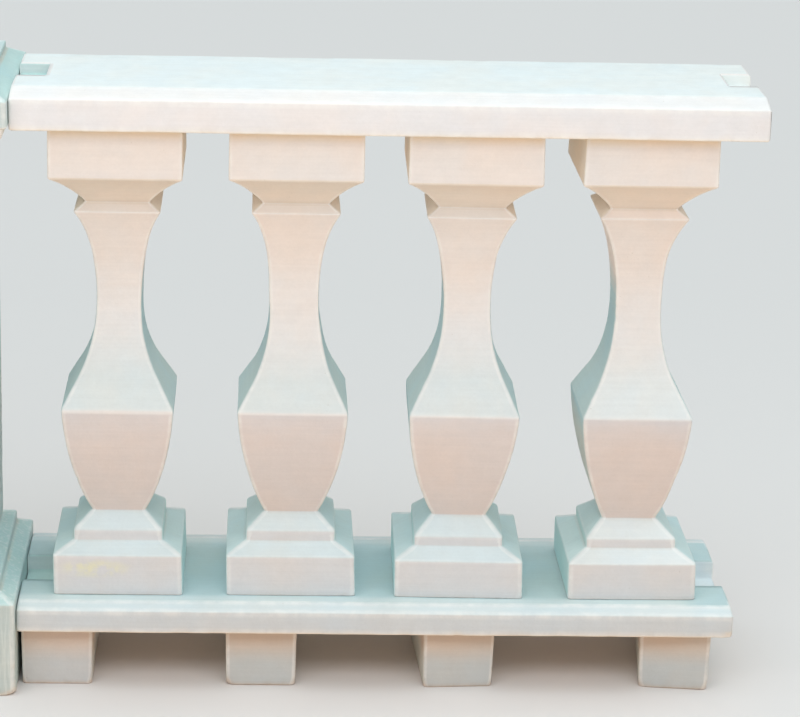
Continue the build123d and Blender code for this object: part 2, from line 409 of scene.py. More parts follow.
def add_piece(node, points, faces, marks, seed, material, cast=None, turn=0.0):
    """Makes the finished piece that stands for a CAD node: worn, inside its box, and set as it was laid."""
    low, high = (np.array(corner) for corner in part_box(node))
    points = worn(uneven(points, seed), faces, marks, seed)
    points = np.clip(knocked(points, node, low, high), low, high)
    if cast:
        points = as_cast(points, low, high, cast, turn)
    mesh = bpy.data.meshes.new(node + "_stone")
    mesh.from_pydata([tuple(p) for p in points], [], faces)
    mesh.polygons.foreach_set("use_smooth", [True] * len(mesh.polygons))
    layer = mesh.attributes.new("edge", "FLOAT", "POINT")
    layer.data.foreach_set("value", np.asarray(marks, np.float32))
    mesh.update()
    mesh.validate()
    piece = bpy.data.objects.new(node + "_stone", mesh)
    bpy.context.scene.collection.objects.link(piece)
    mesh.materials.append(material)
    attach(piece, "root")
    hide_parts(node)


def ring_sides(rings, around):
    """Quads between rings of equal length."""
    faces = []
    for r in range(rings - 1):
        for k in range(around):
            after = (k + 1) % around
            faces.append((r * around + k, r * around + after, (r + 1) * around + after, (r + 1) * around + k))
    return faces


def ring_ends(rings, around):
    """One closing face at each end of a stack of rings."""
    return [tuple(reversed(range(around))), tuple(range((rings - 1) * around, rings * around))]


def four_sided_ring(corners, reaches):
    """Points round a four-sided ring with rounded corners, and how near each is to a corner's arris."""
    sides = 0.5 - 0.5 * np.cos(np.linspace(0, pi, SIDE_PARTS + 1))
    out, near = [], []
    for i in range(4):
        before, here, after = corners[i - 1], corners[i], corners[(i + 1) % 4]
        back = (before - here) / np.hypot(*(before - here))
        ahead = (after - here) / np.hypot(*(after - here))
        reach, next_reach = reaches[i], reaches[(i + 1) % 4]
        curve = bend(here + reach * back, here, here + reach * ahead, CORNER_PARTS)
        out.extend(curve)
        near.extend([1.0] * len(curve))
        length = np.hypot(*(after - here)) - reach - next_reach
        start = here + reach * ahead
        for share in sides[1:-1]:
            out.append(start + ahead * length * share)
            gap = min(share, 1 - share) * length
            near.append(max(0.0, 1 - gap / EDGE_GLOW))
    return np.array(out), np.array(near)


def stacked(outline, seen_top, ring_at):
    """Rings up an outline of (half width, height) points, whose ends are flat faces round the axis."""
    tip = outline[0][0] * TIP_SHARE
    chain = [(tip, outline[0][1]), *outline, (tip, outline[-1][1])]
    points, marks = soften(chain, ARRIS_REACH, HOLLOW_REACH)
    marks = np.where(marks > 0, LEVEL_ARRIS * marks, marks)
    steps = np.full(len(points), SKIN_STEP)
    steps[0] = HIDDEN_STEP
    steps[-2] = TOP_STEP if seen_top else HIDDEN_STEP
    points, marks = fill(points, marks, steps)
    rings, edge = [], []
    for (half, height), mark in zip(points, marks):
        ring, near = ring_at(half, height)
        rings.append(np.column_stack([ring, np.full(len(ring), height)]))
        edge.append(np.where(np.abs(mark) > near, mark, near))
    around = len(rings[0])
    faces = ring_sides(len(rings), around) + ring_ends(len(rings), around)
    return np.concatenate(rings), faces, np.concatenate(edge)


def square_piece(node, seed, material, cast=None, turn=0.0):
    """A piece that is square at every height, rebuilt from its CAD outline with softened arrises."""
    low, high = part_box(node)
    centre = np.array((low + high) / 2)[:2]
    unit_square = np.array([(1, 1), (-1, 1), (-1, -1), (1, -1)], float)
    corners = BALUSTER_CORNERS if "baluster" in node else [(0.0, CORNER_REACH)]
    heights, reaches = zip(*corners)

    def ring_at(half, height):
        reach = min(np.interp(height, heights, reaches), CORNER_SHARE * half)
        ring, near = four_sided_ring(unit_square * half, [reach] * 4)
        return ring + centre, near

    body, faces, edge = stacked(arris_outline(node), "cap" in node, ring_at)
    add_piece(node, body, faces, edge, seed, material, cast, turn)


def foot_piece(node, seed, material):
    """A foot block: four corners at its bottom and four at its top, rounded and a little worn."""
    low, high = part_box(node)
    places, _ = welded_points(node)
    middle = np.array((low + high) / 2)[:2]
    levels = []
    for level in (low.z, high.z):
        corners = places[np.abs(places[:, 2] - level) < SAME_PLACE][:, :2]
        angles = np.arctan2(corners[:, 1] - middle[1], corners[:, 0] - middle[0])
        levels.append(corners[np.argsort(angles)])
    bottom, top = levels
    width = np.hypot(*(top[1] - top[0]))
    rub = np.random.default_rng(seed).uniform(*FOOT_RUB, 4) * FOOT_CORNER

    def ring_at(half, height):
        rise = (height - low.z) / (high.z - low.z)
        corners = bottom + (top - bottom) * rise
        inset = width / 2 - half
        ring = middle
        for i in range(2):
            side = corners[i + 1] - corners[i]
            length = np.hypot(*side)
            side = side / length
            kept = max(LEAST_SHARE, 1 - inset / (length / 2))
            ring = ring + ((corners - middle) @ side * kept)[:, None] * side
        narrow = min(np.hypot(*(ring[i + 1] - ring[i])) for i in range(2))
        wear = 1 + max(0.0, 1 - (height - low.z) / FOOT_WEAR_HEIGHT)
        return four_sided_ring(ring, np.minimum(rub * wear, CORNER_SHARE * narrow))

    body, faces, edge = stacked([(width / 2, low.z), (width / 2, high.z)], False, ring_at)
    add_piece(node, body, faces, edge, seed, material)


def ramp(value):
    """0 below -1, 1 above 1, and a smooth rise between."""
    return smooth_rise(np.clip(value * 0.5 + 0.5, 0, 1))


def thinned(values, gap):
    """Sorted values without those that lie closer than gap to the one before."""
    kept = []
    for value in sorted(values):
        if not kept or value - kept[-1] > gap:
            kept.append(value)
    return kept


def across_rail(rail):
    """Places across a rail, close together at the walls of its pockets."""
    inner = rail.flat - 2 * ARRIS_REACH
    walls = [side * rail.pocket_half + step for side in (-1, 1) for step in WALL_STEPS]
    gaps = [
        y
        for y in np.arange(-inner + ACROSS_STEP, inner - ACROSS_STEP / 2, ACROSS_STEP)
        if min(abs(abs(y) - rail.pocket_half), abs(abs(y) - inner)) > ACROSS_ROOM
    ]
    return np.array(sorted([*walls, -inner, inner, *gaps]))


def flat_run(across, level, kind):
    """Points on a flat face of a rail's section: their place and height, their mark of 0 and their kind."""
    count = len(across)
    return np.column_stack([across, np.full(count, level), np.zeros(count), np.full(count, kind)])


def rail_section(rail):
    """Points round a rail's section, their edge marks, which flat face they lie on, and the way inward."""
    half, low, high = rail.high.y, rail.low.z, rail.high.z
    outline = [
        (-half, low),
        (half, low),
        (half, rail.slope_foot),
        (rail.flat, high),
        (-rail.flat, high),
        (-half, rail.slope_foot),
    ]
    corners, corner_marks = soften(outline, ARRIS_REACH, HOLLOW_REACH, closed=True)
    corners = np.column_stack([corners, corner_marks, np.zeros(len(corners))])

    # the floor's points come after the outline's first corner, and the top's after its fourth
    floor_at, top_at = (count * (BEND_STEPS + 1) for count in (1, 4))
    across = across_rail(rail)
    rows = [
        corners[:floor_at],
        flat_run(across, low, ON_FLOOR),
        corners[floor_at:top_at],
        flat_run(across[::-1], high, ON_TOP),
        corners[top_at:],
    ]
    coarse = np.concatenate(rows)
    steps = np.full(len(coarse), SECTION_STEP)
    points, marks = fill(coarse[:, :2], coarse[:, 2], steps, closed=True)
    kind = np.zeros(len(points))
    for i, point in enumerate(points):
        hit = np.where(np.abs(coarse[:, :2] - point).max(axis=1) < WELD)[0]
        if len(hit):
            kind[i] = coarse[hit[0], 3]
    ahead = np.roll(points, -1, axis=0) - np.roll(points, 1, axis=0)
    ahead /= np.hypot(ahead[:, 0], ahead[:, 1])[:, None]
    return points, marks, kind, np.column_stack([-ahead[:, 1], ahead[:, 0]])


def rail_stations(rail):
    """Places along a rail that get a section, and how far the section shrinks at each reach from an end."""
    shares = np.linspace(0, pi / 2, BEND_STEPS + 1)
    insets = {END_REACH * (1 - cos(share)): END_REACH * (1 - sin(share)) for share in shares}
    run = rail.length
    ends = [*insets, *(run - reach for reach in insets)]
    walls = [end + step for end in (rail.pocket_length, run - rail.pocket_length) for step in WALL_STEPS]
    fixed = ends + walls
    between = [
        x
        for x in np.arange(2 * END_REACH, run - 2 * END_REACH, RAIL_STEP)
        if min(abs(x - place) for place in fixed) > STATION_ROOM
    ]
    return thinned(fixed + between, STATION_GAP), insets


def rail_ends(kind, around, last):
    """Closes both ends with quads between floor and top points, and a face on either side of them."""
    floor_ids = np.where(kind == ON_FLOOR)[0]
    top_ids = np.where(kind == ON_TOP)[0][::-1]
    faces = [(a, b, d, c) for a, b, c, d in zip(floor_ids, floor_ids[1:], top_ids, top_ids[1:])]
    faces.append(tuple(range(floor_ids[-1], top_ids[-1] + 1)))
    faces.append((*range(top_ids[0], around), *range(floor_ids[0] + 1)))
    far = [tuple(int(i + last) for i in face) for face in faces]
    near = [tuple(int(i) for i in reversed(face)) for face in faces]
    return far + near


def rail_piece(node, seed, material):
    """A coping or base rail: its section is read from the frame and run along X, with end pockets."""
    rail = rail_shape(node)
    points, marks, kind, inward = rail_section(rail)
    stations, insets = rail_stations(rail)
    on_top = kind == ON_TOP
    between_walls = ramp((rail.pocket_half - np.abs(points[:, 0])) / POCKET_WALL)
    rings, edge = [], []
    for x in stations:
        from_end = min(x, rail.length - x)
        inset = next((shrink for reach, shrink in insets.items() if abs(reach - from_end) < WELD), 0.0)
        ring = points + inward * inset
        sunk = ramp((rail.pocket_length - from_end) / POCKET_WALL) * between_walls
        height = ring[:, 1] - rail.pocket_depth * sunk * on_top
        rings.append(np.column_stack([np.full(len(ring), rail.low.x + x), ring[:, 0], height]))
        glow = max(0.0, 1 - from_end / EDGE_GLOW)
        lip = np.clip(1 - np.abs(2 * sunk - 1), 0, 1) * on_top
        edge.append(np.maximum(np.where(np.abs(marks) > glow, marks, glow), POCKET_LIP * lip))
    around = len(points)
    faces = ring_sides(len(stations), around) + rail_ends(kind, around, (len(stations) - 1) * around)
    add_piece(node, np.concatenate(rings), faces, np.concatenate(edge), seed, material)


# Material nodes

# Sockets of a mix node, whose names repeat: its share, its two numbers or colours, and its results
MIX_SHARE = 0
MIX_NUMBERS = (2, 3)
MIX_COLOURS = (6, 7)
MIXED_NUMBER = 0
MIXED_COLOUR = 2


def add_node(tree, kind, inputs, **settings):
    """Adds a node. inputs maps sockets to their values, or to the sockets that feed them."""
    node = tree.nodes.new(kind)
    for name, value in settings.items():
        setattr(node, name, value)
    for socket, value in inputs.items():
        if isinstance(value, bpy.types.NodeSocket):
            tree.links.new(value, node.inputs[socket])
        else:
            node.inputs[socket].default_value = value
    return node


def noise(tree, where, per_metre, detail, rough):
    """Clouds of noise from 0 to 1."""
    inputs = {"Vector": where, "Scale": per_metre, "Detail": detail, "Roughness": rough}
    return add_node(tree, "ShaderNodeTexNoise", inputs).outputs["Fac"]


def stretched(tree, where, scale):
    """A place, scaled by its own factor along each axis."""
    node = add_node(tree, "ShaderNodeVectorMath", {0: where, 1: scale}, operation="MULTIPLY")
    return node.outputs["Vector"]


def eased(tree, value, low, high, to_low=0.0, to_high=1.0):
    """Maps a value smoothly from one range to another, and holds it there."""
    inputs = {"Value": value, "From Min": low, "From Max": high, "To Min": to_low, "To Max": to_high}
    return add_node(tree, "ShaderNodeMapRange", inputs, interpolation_type="SMOOTHSTEP").outputs["Result"]


def combined(tree, operation, a, b=0.0):
    """Arithmetic on one or two numbers."""
    return add_node(tree, "ShaderNodeMath", {0: a, 1: b}, operation=operation).outputs["Value"]


def product(tree, a, b):
    """Two numbers multiplied."""
    return combined(tree, "MULTIPLY", a, b)


def total(tree, first, *others):
    """Numbers added up in their order."""
    for other in others:
        first = combined(tree, "ADD", first, other)
    return first


def mixed(tree, share, a, b, blend="MIX"):
    """Two colours mixed. Each is a socket, or its red, green and blue."""
    first, second = (c if isinstance(c, bpy.types.NodeSocket) else (*c, 1) for c in (a, b))
    inputs = {MIX_SHARE: share, MIX_COLOURS[0]: first, MIX_COLOURS[1]: second}
    return add_node(tree, "ShaderNodeMix", inputs, data_type="RGBA", blend_type=blend).outputs[MIXED_COLOUR]


def multiplied(tree, a, b):
    """Two colours multiplied."""
    return mixed(tree, 1.0, a, b, "MULTIPLY")


# Painted cast stone. Colours are linear. Each kind of piece holds its paint's colour with painted light and
# shade:
# a tint for upright faces to the front and back, for slopes and flat tops, painted cool and pale as sky
# light, for faces that look down, painted warm as shade, and for the faces along the run, painted darker and
# greenish as shade
PAINT_AND_PAINTED_LIGHT = {
    "baluster": {
        "face": (0.873, 0.837, 0.824),
        "slope": (0.73, 0.795, 0.81),
        "top": (0.73, 0.795, 0.81),
        "under": (0.828, 0.75, 0.67),
        "side": (0.47, 0.70, 0.76),
    },
    "coping": {
        "face": (0.84, 0.83, 0.85),
        "slope": (0.87, 0.84, 0.83),
        "top": (0.86, 0.90, 0.90),
        "under": (0.80, 0.74, 0.67),
        "side": (0.84, 0.86, 0.85),
    },
    "base_rail": {
        "face": (0.68, 0.73, 0.77),
        "slope": (0.715, 0.79, 0.81),
        "top": (0.65, 0.755, 0.765),
        "under": (0.78, 0.73, 0.67),
        "side": (0.74, 0.80, 0.79),
    },
    "pier": {
        "face": (0.575, 0.675, 0.68),
        "slope": (0.54, 0.725, 0.715),
        "top": (0.60, 0.74, 0.74),
        "under": (0.76, 0.76, 0.71),
        "side": (0.55, 0.68, 0.68),
    },
    "foot": {
        "face": (0.61, 0.66, 0.68),
        "slope": (0.66, 0.72, 0.71),
        "top": (0.66, 0.72, 0.71),
        "under": (0.60, 0.55, 0.50),
        "side": (0.70, 0.76, 0.74),
    },
}

# A range below is where something starts and where it is full. Two more numbers are its strength at both

# Where a face counts as a slope, as a flat top, and as one that looks down, by how far its normal rises, and
# where it counts as one along the run, by how much more it faces along X than along Y
SLOPE_FACING = (0.02, 0.60)
TOP_FACING = (0.982, 0.997)
UNDER_FACING = (0.0, -0.17)
SIDE_FACING = (0.0, 0.45)
FLAT_FACING = (0.6, 0.9)

# Tints by height on a baluster, all painted light and shade: a cooler, darker base and lower body, cool
# greenish shade on the sides, warm shade on faces that look down and on the head below the coping, and paler
# slopes on the end baluster as painted light
BASE_FACE = (0.77, 0.755, 0.765)
BASE_SIDE = (0.61, 0.83, 0.84)
BASE_TOP = (0.226, 0.242)
THROAT = (0.684, 0.688)
NECK_UNDER = (0.875, 0.81, 0.775)
LOWER_UNDER = (0.79, 0.71, 0.685)
LOWER_BODY = (0.46, 0.40)
LOWER_ASIDE = (0.62, 0.675, 0.65)
BELLY = (0.390, 0.394)
BODY_FACE = (0.75, 0.72, 0.735)
COOL_FACE = (0.875, 0.86, 0.865)
COOL_BELOW = (0.62, 0.50)
HEAD_SLOPE = (0.83, 0.755, 0.70)
HEAD_ABOVE = (0.62, 0.68)
HEAD_SIDE = (0.91, 0.84, 0.745)
SIDE_SLOPE = (0.63, 0.79, 0.805)
END_BALUSTER = (0.88, 0.92)
PALE_SLOPE = (1.08, 1.045, 1.035)
# Painted shade with some dust: a tan band at the top of a baluster, just under the coping
TAN = (0.95, 0.81, 0.61)
UNDER_COPING = (0.781, 0.799, 0.0, 0.8)

# Tints by place on the feet, the pier and the rails. The tan at the top of each foot, under the rail, is
# painted shade with some dust
FOOT_TAN = (0.72, 0.61, 0.52)
UNDER_RAIL = (0.030, 0.072, 0.0, 0.9)
FIRST_FOOT = (0.32, 0.28)
FIRST_FOOT_TINT = (1.07, 1.06, 1.08)
PIER_STROKES = (150.0, 150.0, 12.0)
PIER_BRUSHED = (0.46, 0.68)
PIER_FOOT = (0.30, 0.17, 0.12, 0.6)
BRUSHED = (0.78, 0.86, 0.86)
# Painted shade with a green tinge: the middle of the base rail's top, among the balusters, is darker and
# greener
RAIL_TOP_FILM_AND_SHADE = (0.535, 0.67, 0.685)
RAIL_TOP_FILM_AND_SHADE_EDGE = (0.104, 0.088)
BRIGHT_END = (0.545, 0.69, 0.71)
BRIGHT_FROM = (1.075, 1.105)
# Painted shade in the rails' end pockets: floors and walls darker and greener, paler far out along X
POCKETS = {"coping": (0.8588, 0.857), "base_rail": (0.1278, 0.126)}
POCKET_EDGE = (0.052, 0.048)
POCKET_FLOORS = {"coping": (0.55, 0.73, 0.715), "base_rail": (0.61, 0.80, 0.78)}
POCKET_WALLS = {"coping": (0.61, 0.68, 0.68), "base_rail": (0.70, 0.78, 0.78)}
POCKET_PALES = {"coping": (0.84, 0.89, 0.89), "base_rail": (0.73, 0.81, 0.85)}
PALE_FROM = (0.7, 0.8)
CREAM = (0.93, 0.82, 0.68)
CREAM_EDGES = {"coping": (0.8110, 0.8072), "base_rail": (0.0945, 0.0912)}
CREAM_SHARE = 0.4
# Painted contact shadow: a dark line at the top of a baluster and of a foot, where it bears up against the
# piece above
JOINT_SHADOW = (0.46, 0.37, 0.28)
JOINT_SHADOWS = {"baluster": (0.8036, 0.8050), "foot": (0.0878, 0.0890)}
JOINT_SHADOW_SHARE = 0.6

# Noises of the paint: waves in a metre, detail and roughness. Brush strokes are noise that is stretched:
# level on upright faces, and along the piece on flat ones
BROAD_CLOUDS = (9.0, 4.0, 0.55)
SMALL_CLOUDS = (42.0, 4.0, 0.6)
SPECKS = (240.0, 3.0, 0.65)
GRAIN = (1100.0, 2.0, 0.55)
STROKES = (1.0, 4.0, 0.6)
UPRIGHT_STROKES = (7.0, 7.0, 230.0)
FLAT_STROKES = (7.0, 230.0, 40.0)

# How the paint varies in warmth, and by how much in lightness
WARM_CLOUD = (1.015, 0.99, 0.965)
COOL_CLOUD = (0.98, 1.0, 1.01)
WARM_FROM = (0.32, 0.68)
CLOUD_SHADE = (0.25, 0.75, -0.022, 0.016)
STROKE_SHADE = (0.25, 0.75, -0.016, 0.014)
SPECK_SHADE = (0.3, 0.7, -0.012, 0.010)

# Chalky arrises that are also a painted highlight, and tan hollows of dirt with painted shade, by the marks
# of the mesh, the clouds and on a baluster the height
CHALK_AND_HIGHLIGHT = (0.93, 0.93, 0.91)
CHALK_AND_HIGHLIGHT_MARKS = (0.15, 0.95)
CHALK_AND_HIGHLIGHT_CLOUDS = (0.35, 0.7, 0.20, 0.58)
HOLLOW_FILM_AND_SHADE = (0.70, 0.60, 0.49)
HOLLOW_FILM_AND_SHADE_MARKS = (-0.1, -1.0)
HOLLOW_FILM_AND_SHADE_CLOUDS = (0.3, 0.7, 0.15, 0.55)
HOLLOW_FILM_AND_SHADE_HEIGHTS = (0.24, 0.60, 0.3, 1.2)

# Air holes of the casting
HOLE = (0.50, 0.45, 0.39)
HOLES_PER_METRE = 150.0
HOLE_RIM = (0.17, 0.07)
HOLE_CLOUDS = (33.0, 2.0, 0.55)
HOLED_FROM = (0.63, 0.74)
HOLE_SHARE = 0.4

# Soil near the ground
SOIL = (0.40, 0.34, 0.27)
SOIL_HEIGHTS = (16 * MM, 0.0)
SOIL_CLOUDS = (60.0, 5.0, 0.65)
SOILED_FROM = (0.42, 0.70)
SOIL_SHARE = 0.25

# The pale yellow run on the first base block of the photographed bay
STAIN = (0.86, 0.83, 0.58)
STAIN_PLACE = (0.262, -0.089, 0.168)
STAIN_STRETCH = (1.0, 1.0, 3.6)
STAIN_REACH = 62 * MM
STAIN_FADE = (STAIN_REACH, 0.3 * STAIN_REACH)
STAIN_CLOUDS = (60.0, 3.0, 0.55)
STAINED_FROM = (0.3, 0.62)
STAIN_SHARE = 0.7

# Roughness, and the depth of each noise in the relief
ROUGHNESS = (0.25, 0.75, 0.62, 0.80)
SOIL_ROUGHNESS = 0.12
CHALK_ROUGHNESS = 0.06
STROKE_RELIEF = 0.55
CLOUD_RELIEF = 0.9
SPECK_RELIEF = 0.30
GRAIN_RELIEF = 0.12
HOLE_RELIEF = 0.8
RELIEF_STRENGTH = 0.55
RELIEF_DEPTH = 0.9 * MM


def surface(tree):
    """Sockets that say where a point is, how its face lies and how near it is to an arris."""
    coords = add_node(tree, "ShaderNodeTexCoord", {})
    where = coords.outputs["Object"]
    normal = add_node(tree, "ShaderNodeSeparateXYZ", {0: coords.outputs["Normal"]})
    place = add_node(tree, "ShaderNodeSeparateXYZ", {0: where})
    out_x, out_y = (combined(tree, "ABSOLUTE", normal.outputs[axis]) for axis in "XY")
    facing = normal.outputs["Z"]
    return SimpleNamespace(
        where=where,
        height=place.outputs["Z"],
        along=combined(tree, "ABSOLUTE", place.outputs["X"]),
        across=combined(tree, "ABSOLUTE", place.outputs["Y"]),
        upward=eased(tree, facing, *SLOPE_FACING),
        on_top=eased(tree, facing, *TOP_FACING),
        downward=eased(tree, facing, *UNDER_FACING),
        flat=eased(tree, combined(tree, "ABSOLUTE", facing), *FLAT_FACING),
        sideways=eased(tree, combined(tree, "SUBTRACT", out_x, out_y), *SIDE_FACING),
        edge=add_node(tree, "ShaderNodeAttribute", {}, attribute_name="edge").outputs["Fac"],
    )


def paint_noises(tree, at):
    """The broad and small clouds, specks, grain and brush strokes of the paint."""
    upright = noise(tree, stretched(tree, at.where, UPRIGHT_STROKES), *STROKES)
    flat = noise(tree, stretched(tree, at.where, FLAT_STROKES), *STROKES)
    inputs = {MIX_SHARE: at.flat, MIX_NUMBERS[0]: upright, MIX_NUMBERS[1]: flat}
    return SimpleNamespace(
        broad=noise(tree, at.where, *BROAD_CLOUDS),
        small=noise(tree, at.where, *SMALL_CLOUDS),
        speck=noise(tree, at.where, *SPECKS),
        grain=noise(tree, at.where, *GRAIN),
        strokes=add_node(tree, "ShaderNodeMix", inputs).outputs[MIXED_NUMBER],
    )


def by_height(tree, at, heights, a, b):
    """Changes from colour a to colour b between two heights."""
    return mixed(tree, eased(tree, at.height, *heights), a, b)


def baluster_tints(tree, at, face, slope, under, side):
    """The tints of a baluster, with painted light and shade that differ from its base to its head."""
    face = by_height(tree, at, COOL_BELOW, face, COOL_FACE)
    face = by_height(tree, at, BELLY, BODY_FACE, face)
    face = by_height(tree, at, BASE_TOP, BASE_FACE, face)
    slope = by_height(tree, at, HEAD_ABOVE, slope, HEAD_SLOPE)
    slope = mixed(tree, eased(tree, at.along, *END_BALUSTER), slope, multiplied(tree, slope, PALE_SLOPE))
    slope_aside = by_height(tree, at, HEAD_ABOVE, SIDE_SLOPE, HEAD_SIDE)
    side = by_height(tree, at, HEAD_ABOVE, side, HEAD_SIDE)
    side = by_height(tree, at, BASE_TOP, BASE_SIDE, side)
    under = by_height(tree, at, THROAT, NECK_UNDER, under)
    under = by_height(tree, at, LOWER_BODY, under, LOWER_UNDER)
    under = mixed(tree, at.sideways, under, by_height(tree, at, LOWER_BODY, under, LOWER_ASIDE))
    return face, slope, slope_aside, under, side


def tint(tree, at, name):
    """The paint's colour with painted light and shade by how a face lies, and on a baluster by height too."""
    face, slope, top, under, side = (PAINT_AND_PAINTED_LIGHT[name][way] for way in ("face", "slope", "top", "under", "side"))
    slope_aside = slope
    if name == "baluster":
        face, slope, slope_aside, under, side = baluster_tints(tree, at, face, slope, under, side)
    colour = mixed(tree, at.sideways, face, side)
    colour = mixed(tree, at.upward, colour, mixed(tree, at.sideways, slope, slope_aside))
    colour = mixed(tree, at.on_top, colour, top)
    return mixed(tree, at.downward, colour, under)


def weathered_and_shaded(tree, at, name, colour):
    """Tints by place: painted tan shade, with some dust, under the coping and at the top of the feet, streaks
    on the pier, and a green tinge with painted shade.
    """
    if name == "baluster":
        # painted shade with some dust, as a tan band just under the coping
        colour = by_height(tree, at, UNDER_COPING, colour, TAN)
    elif name == "foot":
        # painted shade with some dust, as a tan band at the top of a foot under the rail
        colour = by_height(tree, at, UNDER_RAIL, colour, FOOT_TAN)
        first = eased(tree, at.along, *FIRST_FOOT)
        colour = mixed(tree, first, colour, multiplied(tree, colour, FIRST_FOOT_TINT))
    elif name == "pier":
        streaks = noise(tree, stretched(tree, at.where, PIER_STROKES), *STROKES)
        low_down = eased(tree, at.height, *PIER_FOOT)
        brushed = product(tree, eased(tree, streaks, *PIER_BRUSHED), low_down)
        colour = mixed(tree, brushed, colour, BRUSHED)
    elif name == "base_rail":
        # painted shade with a green tinge on the middle of the base rail's top
        rail_top_film_and_shade = product(tree, eased(tree, at.across, *RAIL_TOP_FILM_AND_SHADE_EDGE), at.upward)
        colour = mixed(tree, rail_top_film_and_shade, colour, RAIL_TOP_FILM_AND_SHADE)
        free_end = product(tree, eased(tree, at.along, *BRIGHT_FROM), at.on_top)
        colour = mixed(tree, free_end, colour, BRIGHT_END)
    return colour


def pocketed(tree, at, name, colour):
    """A rail's pockets, painted darker inside as shade, and a warmer cream band low on its sides."""
    inside = product(tree, eased(tree, at.height, *POCKETS[name]), eased(tree, at.across, *POCKET_EDGE))
    shaded = mixed(tree, at.upward, POCKET_WALLS[name], POCKET_FLOORS[name])
    pocket = mixed(tree, eased(tree, at.along, *PALE_FROM), shaded, POCKET_PALES[name])
    colour = mixed(tree, inside, colour, pocket)
    cream = product(tree, eased(tree, at.height, *CREAM_EDGES[name]), CREAM_SHARE)
    return mixed(tree, cream, colour, CREAM)


def clouded(tree, paint, colour):
    """Paint that varies in warmth and in how light it is."""
    warmth = mixed(tree, eased(tree, paint.broad, *WARM_FROM), COOL_CLOUD, WARM_CLOUD)
    colour = multiplied(tree, colour, warmth)
    shade = total(
        tree,
        eased(tree, paint.small, *CLOUD_SHADE),
        eased(tree, paint.strokes, *STROKE_SHADE),
        eased(tree, paint.speck, *SPECK_SHADE),
        1.0,
    )
    grey = add_node(tree, "ShaderNodeCombineXYZ", {0: shade, 1: shade, 2: shade}).outputs[0]
    return multiplied(tree, colour, grey)


def stained(tree, at, colour):
    """A pale yellow run on one base block."""
    here = stretched(tree, at.where, STAIN_STRETCH)
    middle = tuple(p * s for p, s in zip(STAIN_PLACE, STAIN_STRETCH))
    gap = add_node(tree, "ShaderNodeVectorMath", {0: here, 1: middle}, operation="DISTANCE").outputs["Value"]
    patches = eased(tree, noise(tree, at.where, *STAIN_CLOUDS), *STAINED_FROM)
    share = product(tree, eased(tree, gap, *STAIN_FADE), patches)
    return mixed(tree, product(tree, share, STAIN_SHARE), colour, STAIN)


def stone(name):
    """Painted cast stone: tints with painted light and shade by how a face lies, clouds, brushed strokes,
    grain, holes, wear with a painted highlight on arrises, hollows with painted shade, and soil.
    """
    material = bpy.data.materials.new(name)
    material.use_nodes = True
    tree = material.node_tree
    shader = tree.nodes["Principled BSDF"]
    at = surface(tree)
    paint = paint_noises(tree, at)
    colour = weathered_and_shaded(tree, at, name, tint(tree, at, name))
    if name in POCKETS:
        colour = pocketed(tree, at, name, colour)
    colour = clouded(tree, paint, colour)

    # arrises are rubbed to chalky white with a painted highlight, hollows hold tan dirt with painted shade
    rubbed = product(tree, eased(tree, at.edge, *CHALK_AND_HIGHLIGHT_MARKS), eased(tree, paint.small, *CHALK_AND_HIGHLIGHT_CLOUDS))
    colour = mixed(tree, rubbed, colour, CHALK_AND_HIGHLIGHT)
    hollow_film_and_shade = product(tree, eased(tree, at.edge, *HOLLOW_FILM_AND_SHADE_MARKS), eased(tree, paint.broad, *HOLLOW_FILM_AND_SHADE_CLOUDS))
    if name == "baluster":
        hollow_film_and_shade = product(tree, hollow_film_and_shade, eased(tree, at.height, *HOLLOW_FILM_AND_SHADE_HEIGHTS))
    colour = mixed(tree, hollow_film_and_shade, colour, HOLLOW_FILM_AND_SHADE)

    # small air holes, in patches
    cells = {"Vector": at.where, "Scale": HOLES_PER_METRE, "Randomness": 1.0}
    rim = add_node(tree, "ShaderNodeTexVoronoi", cells).outputs["Distance"]
    holed = eased(tree, noise(tree, at.where, *HOLE_CLOUDS), *HOLED_FROM)
    hole = product(tree, eased(tree, rim, *HOLE_RIM), holed)
    colour = mixed(tree, product(tree, hole, HOLE_SHARE), colour, HOLE)

    # painted contact shadow: a dark line where a piece bears up against the one above it
    if name in JOINT_SHADOWS:
        joint_shadow = product(tree, eased(tree, at.height, *JOINT_SHADOWS[name]), JOINT_SHADOW_SHARE)
        colour = mixed(tree, joint_shadow, colour, JOINT_SHADOW)

    # splashes of soil near the ground
    soil_patches = eased(tree, noise(tree, at.where, *SOIL_CLOUDS), *SOILED_FROM)
    soil = product(tree, eased(tree, at.height, *SOIL_HEIGHTS), soil_patches)
    colour = mixed(tree, product(tree, soil, SOIL_SHARE), colour, SOIL)
    if name == "baluster":
        colour = stained(tree, at, colour)

    rough = total(
        tree,
        eased(tree, paint.small, *ROUGHNESS),
        product(tree, soil, SOIL_ROUGHNESS),
        product(tree, rubbed, CHALK_ROUGHNESS),
    )
    relief = total(
        tree,
        product(tree, paint.strokes, STROKE_RELIEF),
        product(tree, paint.small, CLOUD_RELIEF),
        product(tree, paint.speck, SPECK_RELIEF),
        product(tree, paint.grain, GRAIN_RELIEF),
    )
    relief = combined(tree, "SUBTRACT", relief, product(tree, hole, HOLE_RELIEF))
    inputs = {"Height": relief, "Strength": RELIEF_STRENGTH, "Distance": RELIEF_DEPTH}
    bump = add_node(tree, "ShaderNodeBump", inputs)
    tree.links.new(colour, shader.inputs["Base Color"])
    tree.links.new(rough, shader.inputs["Roughness"])
    tree.links.new(bump.outputs["Normal"], shader.inputs["Normal"])
    return material


def kind_of(node):
    """Which kind of piece a node is, and so which paint, with its painted light and shade, it has."""
    return next(kind for kind in PAINT_AND_PAINTED_LIGHT if kind in node)


